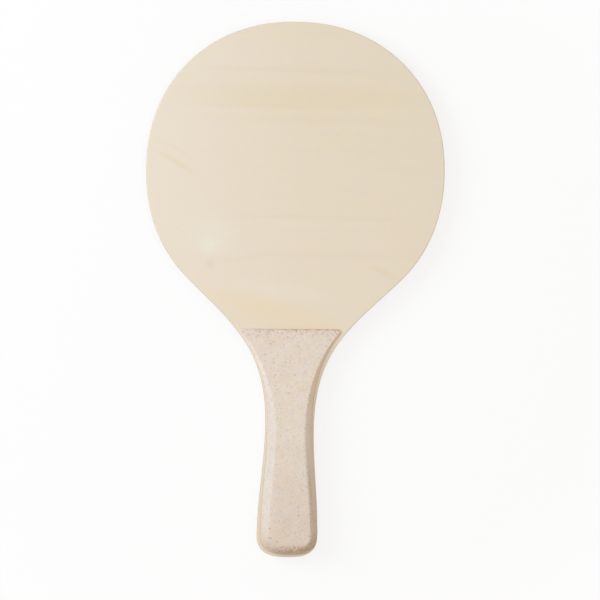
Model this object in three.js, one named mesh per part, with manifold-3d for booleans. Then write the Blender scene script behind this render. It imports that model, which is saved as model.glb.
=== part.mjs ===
// Frescobol racket: a five-ply plywood blade whose tang is clasped between two moulded grip shells.
// Sizes are in millimetres. The racket lies flat, with +Y along it towards the tip of the blade and +Z
// through its thickness. The origin is under the middle of its length, on the plane the rear grip lies on.

import * as THREE from "three";
import { mergeVertices } from "three/addons/utils/BufferGeometryUtils.js";
import Module from "manifold-3d";

const wasm = await Module();
wasm.setup();

// Outline of the wood. Heights are measured along the racket from the end of the handle, the butt.
const racketLength = 380;
const headHalfWidth = 106.1;
const headHalfHeight = 105.7;
const headExponent = 2.13; // 2 would be an ellipse, and more is squarer
const headEndAngle = 45; // degrees below its widest line at which the round head turns into the neck
const waistAbove = 92.5;
const waistHalfWidth = 17.2;
const buttDepth = 15.7;
const buttHalfWidth = 21.4;
const buttExponent = 2.7;
const neckHeadPullShare = 0.388; // how far the neck's curve keeps the direction of the head
const neckWaistPullShare = 0.469; // and how far it keeps that of the waist
const handlePullShare = 0.35;

// Plywood, from face to face.
const faceVeneer = 1.1;
const crossVeneer = 1.2;
const coreVeneer = 1.2;
const glueLine = 0.05;

// Outline of the grip shells, drawn in from the wood's.
const gripTopAbove = 161.8;
const gripSideMargin = 1.15; // wood left showing beside the grip
const gripTopMargin = 2.3; // and beside its top corners
const gripEndMargin = 2.1; // and past its round end
const gripCornerRun = 4.9; // length of edge that the rounding of a top corner takes up
const gripTurn = 0.85; // degrees that the pair of shells sits askew on the tang

// Section of a shell, upwards from the wood.
const shellHeight = 9.3;
const shellTopHeight = 1.05; // at the thin top edge, where the ramp up to the full height starts
const rimHeight = 0.7; // upright edge under the bevels
const bevelWidth = 5.1;
const ridgeRadius = 2.6;
const endRoundWidth = 8;

// Inside of a shell.
const wallThickness = 2.3;
const leastHollowDepth = 0.9;
const ribThickness = 1.4;
const crossRibCount = 6;
const pegRibs = [1, 3, 5]; // the cross ribs that carry a boss on the centre line
const bossWall = 2.2;

// Locating pegs on the front shell, and their sockets in the rear one.
const pegRadius = 3;
const pegClearance = 0.3;
const socketDepth = 3.6;

// Adhesive between each shell and the wood.
const filmThickness = 0.2;
const filmSetback = 0.3;

// How finely the curves are stepped, and how far a cutting body runs past what it cuts.
const headSteps = 27;
const neckSteps = 14;
const handleSteps = 8;
const buttSteps = 8;
const cornerSteps = 4;
const ridgeSteps = 3;
const roundSegments = 16;
const cutOverrun = 1;

const degree = Math.PI / 180;
const quarterTurn = 90;
const veneers = [faceVeneer, crossVeneer, coreVeneer, crossVeneer, faceVeneer];
const woodThickness = veneers.reduce((sum, veneer) => sum + veneer) + glueLine * (veneers.length - 1);
const woodUnderside = shellHeight + filmThickness;
const woodTop = woodUnderside + woodThickness;
const socketRadius = pegRadius + pegClearance;
const bossRadius = socketRadius + bossWall;
const bevelSlope = Math.atan2(shellHeight - rimHeight, bevelWidth);

// Point on a rounded oval, at an angle in degrees above its widest line.
function ovalPoint(halfWidth, halfHeight, exponent, angle) {
  const across = Math.sin((quarterTurn - Math.abs(angle)) * degree) ** (2 / exponent);
  const up = Math.sin(Math.abs(angle) * degree) ** (2 / exponent);
  return new THREE.Vector2(halfWidth * across, halfHeight * up * Math.sign(angle));
}

// Right-hand side of the wood, from the middle of the butt up to the tip.
function woodSide() {
  const buttCentre = new THREE.Vector2(0, buttDepth);
  const headCentre = new THREE.Vector2(0, racketLength - headHalfHeight);
  const handleEnd = new THREE.Vector2(buttHalfWidth, buttDepth);
  const waist = new THREE.Vector2(waistHalfWidth, waistAbove);
  const headEnd = ovalPoint(headHalfWidth, headHalfHeight, headExponent, -headEndAngle);

  // The head's direction where it ends follows from the slope of the oval there.
  const across = headEnd.x ** (headExponent - 1) / headHalfWidth ** headExponent;
  const up = Math.abs(headEnd.y) ** (headExponent - 1) / headHalfHeight ** headExponent;
  headEnd.add(headCentre);
  const neckSpan = headEnd.distanceTo(waist);
  const headPull = new THREE.Vector2(-up, -across).setLength(neckHeadPullShare * neckSpan);
  const waistPull = new THREE.Vector2(0, neckWaistPullShare * neckSpan);
  const handlePull = new THREE.Vector2(0, handlePullShare * (waistAbove - buttDepth));

  const handle = new THREE.CubicBezierCurve(
    handleEnd, handleEnd.clone().add(handlePull), waist.clone().sub(handlePull), waist);
  const neck = new THREE.CubicBezierCurve(
    waist, waist.clone().add(waistPull), headEnd.clone().add(headPull), headEnd);

  const side = [];
  for (let i = 0; i < buttSteps; i++) {
    const angle = THREE.MathUtils.lerp(-quarterTurn, 0, i / buttSteps);
    side.push(ovalPoint(buttHalfWidth, buttDepth, buttExponent, angle).add(buttCentre));
  }
  side.push(...handle.getPoints(handleSteps).slice(0, -1));
  side.push(...neck.getPoints(neckSteps).slice(0, -1));
  for (let i = 0; i <= headSteps; i++) {
    const angle = THREE.MathUtils.lerp(-headEndAngle, quarterTurn, i / headSteps);
    side.push(ovalPoint(headHalfWidth, headHalfHeight, headExponent, angle).add(headCentre));
  }
  return side;
}

function mirrorImage(point) {
  return point.clone().setX(-point.x);
}

// The whole outline, anticlockwise, from its right-hand side. Points on the centre line are used once.
function wholeOutline(side) {
  const left = side.filter((point) => point.x > 0).reverse().map(mirrorImage);
  return [...side, ...left];
}

// Each point of a side line with its direction into the outline and, on the handle's round end, how
// squarely it faces the end, from 0 to 1.
function facings(side) {
  return side.map((point, i) => {
    const before = side[i - 1] ?? mirrorImage(side[1]);
    const after = side[i + 1] ?? mirrorImage(point);
    const run = after.clone().sub(before).normalize();
    const inward = new THREE.Vector2(-run.y, run.x);
    const endwards = point.y < waistAbove ? Math.max(0, inward.y) : 0;
    return { point, inward, endwards };
  });
}

// Side line of a grip shell: the wood's side drawn in by the margins and by an inset, up to a straight
// top edge at the height given, where the corner is rounded.
function gripSide(inset, topAbove) {
  const drawnIn = facings(woodSide()).map(({ point, inward, endwards }) => {
    const upwards = Math.max(0, point.y - waistAbove) / (gripTopAbove - waistAbove);
    const margin = gripSideMargin
      + (gripEndMargin - gripSideMargin) * endwards
      + (gripTopMargin - gripSideMargin) * upwards;
    return point.clone().addScaledVector(inward, margin + inset);
  });
  const next = drawnIn.findIndex((point) => point.y >= topAbove);
  const [under, over] = [drawnIn[next - 1], drawnIn[next]];
  const corner = under.clone().lerp(over, (topAbove - under.y) / (over.y - under.y));
  const straight = drawnIn.slice(0, next).filter((point) => point.distanceTo(corner) > gripCornerRun);
  const roundStart = straight.at(-1).clone().sub(corner).setLength(gripCornerRun).add(corner);
  const roundEnd = corner.clone().setX(corner.x - gripCornerRun);
  const rounding = new THREE.QuadraticBezierCurve(roundStart, corner, roundEnd);
  return [...straight, ...rounding.getPoints(cornerSteps)];
}

// Height of a shell over the wood: full up to the waist, then a ramp down to the thin top edge.
function heightAbove(above) {
  const rampShare = Math.max(0, above - waistAbove) / (gripTopAbove - waistAbove);
  return THREE.MathUtils.lerp(shellHeight, shellTopHeight, rampShare);
}

// The points of a shell's side line with the way that its slopes lean in: towards one point at the round
// end, and square to the edge elsewhere. A slanting lean is longer, so that one inset holds all round.
function leaningSide(side) {
  const focus = new THREE.Vector2(0, side[0].y + buttHalfWidth);
  return facings(side).map(({ point, inward, endwards }) => {
    const lean = point.y < focus.y ? focus.clone().sub(point).normalize() : inward;
    return { point, lean: lean.clone().divideScalar(lean.dot(inward)), endwards };
  });
}

// One ring of a shell. The inset and the height are functions of a place on the side line.
function shellRing(places, insetAt, heightAt) {
  return wholeOutline(places.map((place) => {
    const drawnIn = place.point.clone().addScaledVector(place.lean, insetAt(place));
    return new THREE.Vector3(drawnIn.x, drawnIn.y, heightAt(drawnIn.y, place));
  }));
}

// Closed body through rings of equal count that start in the middle of the round end. Strips across
// close the first and the last ring, so that an end may be folded.
function ringBody(rings) {
  const count = rings[0].length;
  const top = (rings.length - 1) * count;
  const indices = [0, count - 1, 1, top, top + 1, top + count - 1];
  for (let low = 0; low < top; low += count) {
    const high = low + count;
    for (let i = 0; i < count; i++) {
      const next = (i + 1) % count;
      indices.push(low + i, low + next, high + next, low + i, high + next, high + i);
    }
  }
  for (let right = 1; right < (count - 1) / 2; right++) {
    const left = count - right;
    const strip = [right, right + 1, left - 1, right, left - 1, left];
    indices.push(...strip.map((corner) => top + corner), ...strip.reverse());
  }
  const geometry = new THREE.BufferGeometry().setFromPoints(rings.flat());
  return toSolid(geometry.setIndex(indices));
}

function toSolid(geometry) {
  geometry.deleteAttribute("normal");
  geometry.deleteAttribute("uv");
  const merged = mergeVertices(geometry);
  return new wasm.Manifold(new wasm.Mesh({
    numProp: 3,
    vertProperties: merged.getAttribute("position").array,
    triVerts: Uint32Array.from(merged.getIndex().array),
  }));
}

function toGeometry(solid) {
  const mesh = solid.getMesh();
  const geometry = new THREE.BufferGeometry();
  geometry.setAttribute("position", new THREE.BufferAttribute(mesh.vertProperties, mesh.numProp));
  geometry.setIndex(new THREE.BufferAttribute(mesh.triVerts, 1));
  geometry.computeVertexNormals();
  return geometry;
}

function cutAway(solid, cutters) {
  return cutters.reduce((rest, cutter) => rest.subtract(cutter), solid);
}

// Upright post on the centre line, between two heights.
function post(radius, above, bottom, top) {
  const geometry = new THREE.CylinderGeometry(radius, radius, top - bottom, roundSegments);
  geometry.rotateX(Math.PI / 2).translate(0, above, (bottom + top) / 2);
  return toSolid(geometry);
}

// The hollow stops where the ramp leaves too little depth for it.
function hollowTopAbove() {
  const rampSlope = (shellHeight - shellTopHeight) / (gripTopAbove - waistAbove);
  return gripTopAbove - (wallThickness + leastHollowDepth - shellTopHeight) / rampSlope;
}

// Heights of the cross ribs, evenly spaced along the hollow, and of the pegs that stand on some of them.
function crossRibPlaces() {
  const hollowStart = gripEndMargin + wallThickness;
  const spacing = (hollowTopAbove() - hollowStart) / (crossRibCount + 1);
  return Array.from({ length: crossRibCount }, (_, i) => hollowStart + spacing * (i + 1));
}

function pegPlaces() {
  const places = crossRibPlaces();
  return pegRibs.map((rib) => places[rib - 1]);
}

// Bars for the long rib and the cross ribs, and posts for the bosses. They run right through the hollow.
function ribBars(thickness) {
  const long = new THREE.BoxGeometry(thickness, 2 * gripTopAbove, 2 * shellHeight);
  const cross = crossRibPlaces().map((above) =>
    new THREE.BoxGeometry(2 * headHalfWidth, thickness, 2 * shellHeight).translate(0, above, 0));
  return [long, ...cross].map(toSolid);
}

function bossPosts(radius) {
  return pegPlaces().map((above) => post(radius, above, -shellHeight, shellHeight));
}

// Cells inside a shell: its hollow, one wall thickness inside the outer form, less the ribs and bosses.
function hollowCells() {
  const places = leaningSide(gripSide(wallThickness, hollowTopAbove()));
  const roofAt = (above) => heightAbove(above) - wallThickness;
  const hollow = ringBody([
    shellRing(places, () => 0, () => -cutOverrun),
    shellRing(places, () => 0, () => 0),
    shellRing(places, ({ point }) => roofAt(point.y) / Math.tan(bevelSlope), roofAt),
  ]);
  return cutAway(hollow, [...ribBars(ribThickness), ...bossPosts(bossRadius)]);
}

// Section at the sides: a flat bevel with a rounded ridge. Each entry is an inset and a height.
function sideSection() {
  const centreInset = bevelWidth + ridgeRadius * Math.tan(bevelSlope / 2);
  return Array.from({ length: ridgeSteps + 1 }, (_, i) => {
    const angle = bevelSlope * (1 - i / ridgeSteps);
    const drop = ridgeRadius * (1 - Math.cos(angle));
    return [centreInset - ridgeRadius * Math.sin(angle), shellHeight - drop];
  });
}

// Section at the round end: a quarter of an ellipse, with as many entries.
function endSection() {
  return Array.from({ length: ridgeSteps + 1 }, (_, i) => {
    const angle = (i + 1) / (ridgeSteps + 1) * quarterTurn * degree;
    const rise = (shellHeight - rimHeight) * Math.sin(angle);
    return [endRoundWidth * (1 - Math.cos(angle)), rimHeight + rise];
  });
}

// Outer form of a shell: the upright rim, the bevels, which shrink as the ramp falls, and the ridge.
function shellForm() {
  const places = leaningSide(gripSide(0, gripTopAbove));
  const localShare = (above) => (heightAbove(above) - rimHeight) / (shellHeight - rimHeight);
  const ends = endSection();
  const slopes = sideSection().map(([sideInset, sideHeight], level) => {
    const [endInset, endHeight] = ends[level];
    const blend = (atSide, atEnd, endwards) => THREE.MathUtils.lerp(atSide, atEnd, endwards ** 2);
    return shellRing(
      places,
      ({ point, endwards }) => blend(sideInset, endInset, endwards) * localShare(point.y),
      (above, { endwards }) =>
        rimHeight + (blend(sideHeight, endHeight, endwards) - rimHeight) * localShare(above));
  });
  const foot = shellRing(places, () => 0, () => 0);
  const rim = shellRing(places, () => 0, () => rimHeight);
  return ringBody([foot, rim, ...slopes]);
}

// Front shell: its pegs reach through the tang into the sockets of the rear shell.
function frontShell() {
  const pegEnd = -(2 * filmThickness + woodThickness + socketDepth - pegClearance);
  const pegs = pegPlaces().map((above) => post(pegRadius, above, pegEnd, rimHeight));
  return pegs.reduce((shell, peg) => shell.add(peg), cutAway(shellForm(), [hollowCells()]));
}

function rearShell() {
  const sockets = pegPlaces().map((above) => post(socketRadius, above, -cutOverrun, socketDepth));
  return cutAway(shellForm(), [hollowCells(), ...sockets]);
}

// Upright prism on an outline, from one height to another.
function prism(outline, bottom, top) {
  const options = { depth: top - bottom, bevelEnabled: false, curveSegments: roundSegments / 2 };
  return new THREE.ExtrudeGeometry(outline, options).translate(0, 0, bottom);
}

// Film of adhesive, on every face of a shell that touches the wood but a little inside its edges.
function adhesiveFilm() {
  const outline = wholeOutline(gripSide(filmSetback, gripTopAbove - filmSetback));
  const sheet = toSolid(prism(new THREE.Shape(outline), 0, filmThickness));
  const bareOutline = wholeOutline(gripSide(wallThickness - filmSetback, hollowTopAbove() + filmSetback));
  const bare = toSolid(prism(new THREE.Shape(bareOutline), -cutOverrun, filmThickness + cutOverrun));
  const backed = [...ribBars(ribThickness - 2 * filmSetback), ...bossPosts(bossRadius - filmSetback)];
  const pegHoles = pegPlaces().map((above) =>
    post(socketRadius, above, -cutOverrun, filmThickness + cutOverrun));
  return cutAway(sheet, [cutAway(bare, backed), ...pegHoles]);
}

// Outline of the wood, with the holes that the pegs pass through. They follow the turn of the grip.
function plyOutline() {
  const outline = new THREE.Shape(wholeOutline(woodSide()));
  const pivot = new THREE.Vector2(0, waistAbove);
  outline.holes = pegPlaces().map((above) => {
    const hole = new THREE.Vector2(0, above).rotateAround(pivot, gripTurn * degree);
    return new THREE.Path().absarc(hole.x, hole.y, socketRadius, 0, 2 * Math.PI);
  });
  return outline;
}

function addPiece(group, name, geometry, colour, roughness) {
  const material = new THREE.MeshStandardMaterial({ color: colour, roughness, metalness: 0 });
  const mesh = new THREE.Mesh(geometry, material);
  mesh.name = name;
  group.add(mesh);
  return mesh;
}

// Veneers from the rear face to the front one, each laid across its neighbours.
function addBlade(group) {
  const paleFace = "#e3d7c1";
  const crossGrain = "#d9c7a6";
  const sandedRoughness = 0.7;
  const outline = plyOutline();
  const names = ["face_ply_rear", "cross_ply_rear", "core_ply", "cross_ply_front", "face_ply_front"];
  let bottom = woodUnderside;
  names.forEach((name, i) => {
    const colour = name.startsWith("cross") ? crossGrain : paleFace;
    addPiece(group, name, prism(outline, bottom, bottom + veneers[i]), colour, sandedRoughness);
    bottom += veneers[i] + glueLine;
  });
}

// Both shells and their films turn together about the waist.
function addGrip(group) {
  const strawPlastic = "#e0d0bf";
  const driedAdhesive = "#c9ae86";
  const satinRoughness = 0.5;
  const glossyRoughness = 0.3;
  const grip = new THREE.Group();
  grip.position.y = waistAbove;
  grip.rotation.z = gripTurn * degree;
  group.add(grip);

  const front = addPiece(grip, "grip_shell_front", toGeometry(frontShell()), strawPlastic, satinRoughness);
  front.position.set(0, -waistAbove, woodTop + filmThickness);
  const rear = addPiece(grip, "grip_shell_rear", toGeometry(rearShell()), strawPlastic, satinRoughness);
  rear.position.set(0, -waistAbove, shellHeight);
  rear.rotation.y = Math.PI;

  const film = toGeometry(adhesiveFilm());
  const frontFilm = addPiece(grip, "adhesive_film_front", film, driedAdhesive, glossyRoughness);
  frontFilm.position.set(0, -waistAbove, woodTop);
  const rearFilm = addPiece(grip, "adhesive_film_rear", film, driedAdhesive, glossyRoughness);
  rearFilm.position.set(0, -waistAbove, shellHeight);
}

const racket = new THREE.Group();
racket.position.y = -racketLength / 2;
addBlade(racket);
addGrip(racket);

export default racket;
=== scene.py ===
# %% [markdown]
# # A frescobol racket, dressed around its construction model
# The racket is a beach racket: five glued veneers cut to one outline, and two moulded shells that clasp
# its tang as a grip. The construction model already holds each piece at its real size and place. This
# lesson keeps those sizes and gives every piece the shape and finish that the eye and the hand expect.

# %% Load the construction model
import math

import bmesh
import bpy
from mathutils import Matrix, Vector
from mathutils.geometry import interpolate_bezier


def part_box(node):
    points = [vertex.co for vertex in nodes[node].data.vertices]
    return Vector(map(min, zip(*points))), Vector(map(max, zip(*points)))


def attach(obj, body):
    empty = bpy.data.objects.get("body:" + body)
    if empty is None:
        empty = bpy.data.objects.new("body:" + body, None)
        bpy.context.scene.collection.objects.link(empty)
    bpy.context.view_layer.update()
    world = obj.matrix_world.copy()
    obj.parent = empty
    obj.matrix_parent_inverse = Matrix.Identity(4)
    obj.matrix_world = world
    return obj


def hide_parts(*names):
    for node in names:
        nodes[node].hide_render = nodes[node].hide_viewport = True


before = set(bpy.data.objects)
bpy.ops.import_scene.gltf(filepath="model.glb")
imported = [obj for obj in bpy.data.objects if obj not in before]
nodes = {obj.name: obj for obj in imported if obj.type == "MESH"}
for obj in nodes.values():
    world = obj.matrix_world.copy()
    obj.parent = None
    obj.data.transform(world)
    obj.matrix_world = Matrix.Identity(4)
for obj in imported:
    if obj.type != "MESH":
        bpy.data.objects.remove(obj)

mm = 0.001
scene = bpy.context.scene
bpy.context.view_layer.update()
print("pieces in the model:", ", ".join(sorted(nodes)))

# %% [markdown]
# ## Small helpers
# Colours are picked as hex values, which are display values. Shaders work with light, so one function turns
# them into linear values. Every node in this lesson, in a material or in a geometry tree, is added by one
# other function: it creates the node, applies its settings and feeds its inputs, by name or by place.

# %% Helpers for colours and nodes
def linear(colour):
    """Linear red, green, blue and alpha of a colour written as #rrggbb."""
    channels = [int(colour[i:i + 2], 16) / 255 for i in (1, 3, 5)]
    return (*(c / 12.92 if c <= 0.04045 else ((c + 0.055) / 1.055) ** 2.4 for c in channels), 1.0)


def socket(sockets, key):
    """The socket in use with that name, or at that place among those in use."""
    used = [s for s in sockets if s.enabled]
    return used[key] if isinstance(key, int) else next(s for s in used if s.name == key)


def feed(tree, node, inputs):
    """Sets or links inputs. Each takes a value, a node's first output, an output, or a list of these."""
    for key, given in inputs.items():
        for value in given if isinstance(given, list) else [given]:
            if isinstance(value, bpy.types.Node):
                value = socket(value.outputs, 0)
            if isinstance(value, bpy.types.NodeSocket):
                tree.links.new(value, socket(node.inputs, key))
            else:
                socket(node.inputs, key).default_value = value


def add(tree, kind, inputs=None, **settings):
    """Adds a node with its settings and its inputs."""
    node = tree.nodes.new(kind)
    for name, setting in settings.items():
        setattr(node, name, setting)
    feed(tree, node, inputs or {})
    return node


print("wood colour in light:", [round(c, 3) for c in linear("#e4d9c3")])

# %% [markdown]
# ## The camera
# The racket is seen nearly square-on from above, from far enough to flatten it, and lies turned a little in
# the picture. Turning the camera by that angle, and not the racket, keeps the racket in its own frame. The
# camera looks from a few degrees to the left. That is why the left bevel of the grip looks wider than the
# right one. The focal length follows from the width of the view at the height of the wood.

# %% Camera
view_width = 425.7 * mm
view_centre = Vector((5.12, -7.4, 0)) * mm
camera_distance = 1.8
camera_turn = math.radians(1.38)
camera_lean = math.radians(3.2)

wood_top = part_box("face_ply_front")[1].z
lens = bpy.data.cameras.new("square_on_camera")
lens.sensor_width = 36
lens.lens = lens.sensor_width * camera_distance / view_width
camera = bpy.data.objects.new("square_on_camera", lens)
camera_stand = Matrix.Rotation(camera_turn, 3, "Z") @ Matrix.Rotation(-camera_lean, 3, "Y")
camera.location = view_centre + Vector((0, 0, wood_top)) + camera_stand @ Vector((0, 0, camera_distance))
camera.rotation_euler = camera_stand.to_euler()
scene.collection.objects.link(camera)
scene.camera = camera
scene.view_settings.view_transform = "Standard"
print("focal length:", round(lens.lens, 1), "mm at", round(camera_distance, 2), "m")

# %% [markdown]
# ## Soft studio light
# Packshots like this one are lit by a wide soft lamp from one side, a second one overhead, and pale walls.
# Together they light a level white surface at a strength of about 1, so that a colour renders about as it is
# written. The side lamp makes the left slopes of the grip pale and its right slopes dark. What the walls
# send back is a little warmer than the lamps, so shaded slopes look warm and lit ones cool. The two tints
# cancel on a level surface.

# %% Lamps and sky
ambient_share = 0.47
ambient_tint = (1.16, 1.0, 0.84)
lamp_tint = [(1 - ambient_share * tint) / (1 - ambient_share) for tint in ambient_tint]
lamps = {
    "side_softbox": {"place": (-1.3, 0.4, 1.2), "size": 1.1, "share": 0.29},
    "top_softbox": {"place": (0.0, -0.1, 2.6), "size": 1.6, "share": 0.24},
}


def seen_directly(tree):
    """1 for what the camera sees, also in gloss or through glass, and 0 for light on its way elsewhere."""
    ray = add(tree, "ShaderNodeLightPath").outputs
    seen = ray["Is Camera Ray"]
    for other in ("Is Glossy Ray", "Is Transmission Ray"):
        seen = add(tree, "ShaderNodeMath", {0: seen, 1: ray[other]}, operation="MAXIMUM")
    return seen


for name, lamp in lamps.items():
    place = Vector(lamp["place"])
    data = bpy.data.lights.new(name, "AREA")
    data.size = lamp["size"]
    data.color = lamp_tint
    # With this energy the lamp alone lights a level white surface at its share of full white.
    slant = place.z / place.length
    data.energy = lamp["share"] * math.pi ** 2 * place.length_squared / slant
    softbox = bpy.data.objects.new(name, data)
    softbox.location = place
    softbox.rotation_euler = place.to_track_quat("Z", "Y").to_euler()
    softbox.visible_camera = False
    scene.collection.objects.link(softbox)
    print(name, "gives", round(data.energy, 1), "W")

sky = bpy.data.worlds.new("pale_studio")
sky.use_nodes = True
scene.world = sky
walls = (*(ambient_share * tint for tint in ambient_tint), 1.0)
shown = add(sky.node_tree, "ShaderNodeMix",
            {"Factor": seen_directly(sky.node_tree), "A": walls, "B": linear("#ffffff")}, data_type="RGBA")
feed(sky.node_tree, sky.node_tree.nodes["Background"], {"Color": shown, "Strength": 1.0})

# %% [markdown]
# ## The floor
# The floor is a plain white sheet. Where the racket casts its soft shadow the sheet is lit as any surface
# is, and away from it the camera sees it as pure white, so that no horizon shows. Seen from underneath the
# sheet is clear, so that the racket's back can be looked at as well.

# %% Floor
floor_half = 4.0
shadow_reach = 0.42
paper_share_near = 0.22


def new_material(name):
    """A material, its tree of nodes, and the coordinates of the object that wears it."""
    material = bpy.data.materials.new(name)
    material.use_nodes = True
    tree = material.node_tree
    return material, tree, add(tree, "ShaderNodeTexCoord").outputs["Object"]


floor_mesh = bpy.data.meshes.new("floor_sheet")
corners = [(-1, -1), (1, -1), (1, 1), (-1, 1)]
floor_mesh.from_pydata([(x * floor_half, y * floor_half, 0) for x, y in corners], [], [(0, 1, 2, 3)])
floor = bpy.data.objects.new("floor_sheet", floor_mesh)
scene.collection.objects.link(floor)

paper, tree, place = new_material("matt_white_paper")
tree.nodes.remove(tree.nodes["Principled BSDF"])
away = add(tree, "ShaderNodeVectorMath", {0: place}, operation="LENGTH")
plain = add(tree, "ShaderNodeMapRange",
            {"Value": away.outputs["Value"], "From Min": shadow_reach / 2, "From Max": shadow_reach,
             "To Min": 1 - paper_share_near, "To Max": 1.0}, interpolation_type="SMOOTHSTEP")
share = add(tree, "ShaderNodeMath", {0: seen_directly(tree), 1: plain}, operation="MULTIPLY")
lit = add(tree, "ShaderNodeBsdfDiffuse", {"Color": linear("#fafafa")})
white = add(tree, "ShaderNodeEmission", {"Color": linear("#ffffff"), "Strength": 1.0})
mixed = add(tree, "ShaderNodeMixShader", {0: share, 1: lit, 2: white})
below = add(tree, "ShaderNodeNewGeometry").outputs["Backfacing"]
clear = add(tree, "ShaderNodeBsdfTransparent")
sheet = add(tree, "ShaderNodeMixShader", {0: below, 1: mixed, 2: clear})
feed(tree, tree.nodes["Material Output"], {"Surface": sheet})
floor_mesh.materials.append(paper)
print("floor sheet:", 2 * floor_half, "m square")

# %% [markdown]
# ## Reading an outline from the model
# The construction model is made of flat facets, with a corner every few millimetres. A jigsawn and sanded
# edge has none, so the outline is read from the model's flat face and a smooth line is drawn through its
# corners. The model's own mesh is loose triangles, and a merged copy of it is read, never the mesh itself.

# %% Outlines as smooth lines
edge_step = 1.6 * mm
touching = 0.001 * mm


def merged_copy(node):
    """The node's mesh with its corners merged, as a BMesh."""
    body = bmesh.new()
    body.from_mesh(node.data)
    bmesh.ops.remove_doubles(body, verts=body.verts, dist=touching)
    return body


def flat_faces(body, height):
    """The faces that lie level at that height."""
    return [f for f in body.faces if all(abs(v.co.z - height) < touching for v in f.verts)]


def rims(faces):
    """Closed loops of points round a set of faces, each with the faces on its left, the longest first."""
    inside = set(faces)
    follows = {}
    for face in faces:
        for loop in face.loops:
            if not any(other in inside for other in loop.edge.link_faces if other is not face):
                follows[loop.vert] = loop.link_loop_next.vert
    loops = []
    while follows:
        vert, after = follows.popitem()
        ring = [vert.co.copy()]
        while after in follows:
            ring.append(after.co.copy())
            after = follows.pop(after)
        loops.append(ring)
    return sorted(loops, key=lambda ring: -perimeter(ring))


def perimeter(ring):
    return sum((a - b).length for a, b in zip(ring, ring[1:] + ring[:1]))


def smooth_line(points, step):
    """Points every step or so along a smooth line. The first and the last of the points only steer it."""
    fine = []
    for i in range(1, len(points) - 2):
        start, end = points[i], points[i + 1]
        chord = (end - start).length
        pulls = []
        for a, b, c in ((points[i - 1], start, end), (start, end, points[i + 2])):
            first, second = (b - a).length, (c - b).length
            way = (b - a) / first * second + (c - b) / second * first
            pulls.append(way.normalized() * chord / 3)
        count = max(2, math.ceil(chord / step) + 1)
        fine += interpolate_bezier(start, start + pulls[0], end - pulls[1], end, count)[:-1]
    return fine + [points[-2].copy()]


front_face = merged_copy(nodes["face_ply_front"])
wood_rims = [smooth_line([ring[-1], *ring, *ring[:2]], edge_step)[:-1]
             for ring in rims(flat_faces(front_face, wood_top))]
front_face.free()
print("outline:", len(wood_rims[0]), "points,", round(perimeter(wood_rims[0]) / mm), "mm round")
print("peg holes:", len(wood_rims) - 1)

# %% [markdown]
# ## A sanded veneer, as a tree of Geometry Nodes
# All five veneers follow one rule: one outline, a thickness, and an arris, which is the small round that
# sandpaper leaves on an edge. The outer veneers have a wide arris on their outer side. Where two veneers
# meet, each has a trace of one, and the eye reads the groove between them as the glue line. The tree sweeps
# the section of the edge round the outline, and fills the two faces in from where the arrises end.

# %% The veneer tree
arris_steps = 6

veneer_tree = bpy.data.node_groups.new("sanded_veneer", "GeometryNodeTree")
for name, kind in (("Outline", "Geometry"), ("Level", "Float"), ("Thickness", "Float"),
                   ("Upper Arris", "Float"), ("Lower Arris", "Float"), ("Finish", "Material")):
    veneer_tree.interface.new_socket(name, in_out="INPUT", socket_type="NodeSocket" + kind)
veneer_tree.interface.new_socket("Veneer", in_out="OUTPUT", socket_type="NodeSocketGeometry")

tree = veneer_tree
sizes = add(tree, "NodeGroupInput").outputs
line = add(tree, "GeometryNodeSetCurveNormal", {"Curve": sizes["Outline"]}, mode="Z_UP")
outwards = add(tree, "GeometryNodeInputNormal")
downwards = add(tree, "ShaderNodeMath", {0: sizes["Thickness"], 1: -1.0}, operation="MULTIPLY")
drop = add(tree, "ShaderNodeCombineXYZ", {"Z": downwards})

# The section is drawn with X outwards from the wood and Y down from the upper face.
section, faces = [], []
for side, first_angle in (("Upper Arris", -90), ("Lower Arris", 0)):
    inwards = add(tree, "ShaderNodeMath", {0: sizes[side], 1: -1.0}, operation="MULTIPLY")
    depth = sizes[side]
    if side == "Lower Arris":
        depth = add(tree, "ShaderNodeMath", {0: sizes["Thickness"], 1: sizes[side]}, operation="SUBTRACT")
    arc = add(tree, "GeometryNodeCurveArc",
              {"Resolution": arris_steps + 1, "Radius": sizes[side],
               "Start Angle": math.radians(first_angle), "Sweep Angle": math.radians(90)}, mode="RADIUS")
    centre = add(tree, "ShaderNodeCombineXYZ", {"X": inwards, "Y": depth})
    section.append(add(tree, "GeometryNodeTransform", {"Geometry": arc, "Translation": centre}))

    inset = add(tree, "ShaderNodeVectorMath", {0: outwards, "Scale": inwards}, operation="SCALE")
    drawn_in = add(tree, "GeometryNodeSetPosition", {"Geometry": line, "Offset": inset})
    faces.append(add(tree, "GeometryNodeFillCurve", {"Curve": drawn_in}, mode="TRIANGLES"))

upright_top = add(tree, "ShaderNodeCombineXYZ", {"Y": sizes["Upper Arris"]})
upright_foot = add(tree, "ShaderNodeCombineXYZ", {"Y": depth})
section.insert(1, add(tree, "GeometryNodeCurvePrimitiveLine", {"Start": upright_top, "End": upright_foot}))
edge = add(tree, "GeometryNodeCurveToMesh",
           {"Curve": line, "Profile Curve": add(tree, "GeometryNodeJoinGeometry", {"Geometry": section})})
underside = add(tree, "GeometryNodeTransform", {"Geometry": faces[1], "Translation": drop})
underside = add(tree, "GeometryNodeFlipFaces", {"Mesh": underside})
whole = add(tree, "GeometryNodeJoinGeometry", {"Geometry": [faces[0], edge, underside]})
closed = add(tree, "GeometryNodeMergeByDistance", {"Geometry": whole, "Distance": touching})
lift = add(tree, "ShaderNodeCombineXYZ", {"Z": sizes["Level"]})
closed = add(tree, "GeometryNodeTransform", {"Geometry": closed, "Translation": lift})
finished = add(tree, "GeometryNodeSetMaterial", {"Geometry": closed, "Material": sizes["Finish"]})
real = add(tree, "GeometryNodeRealizeInstances", {"Geometry": finished})
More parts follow.
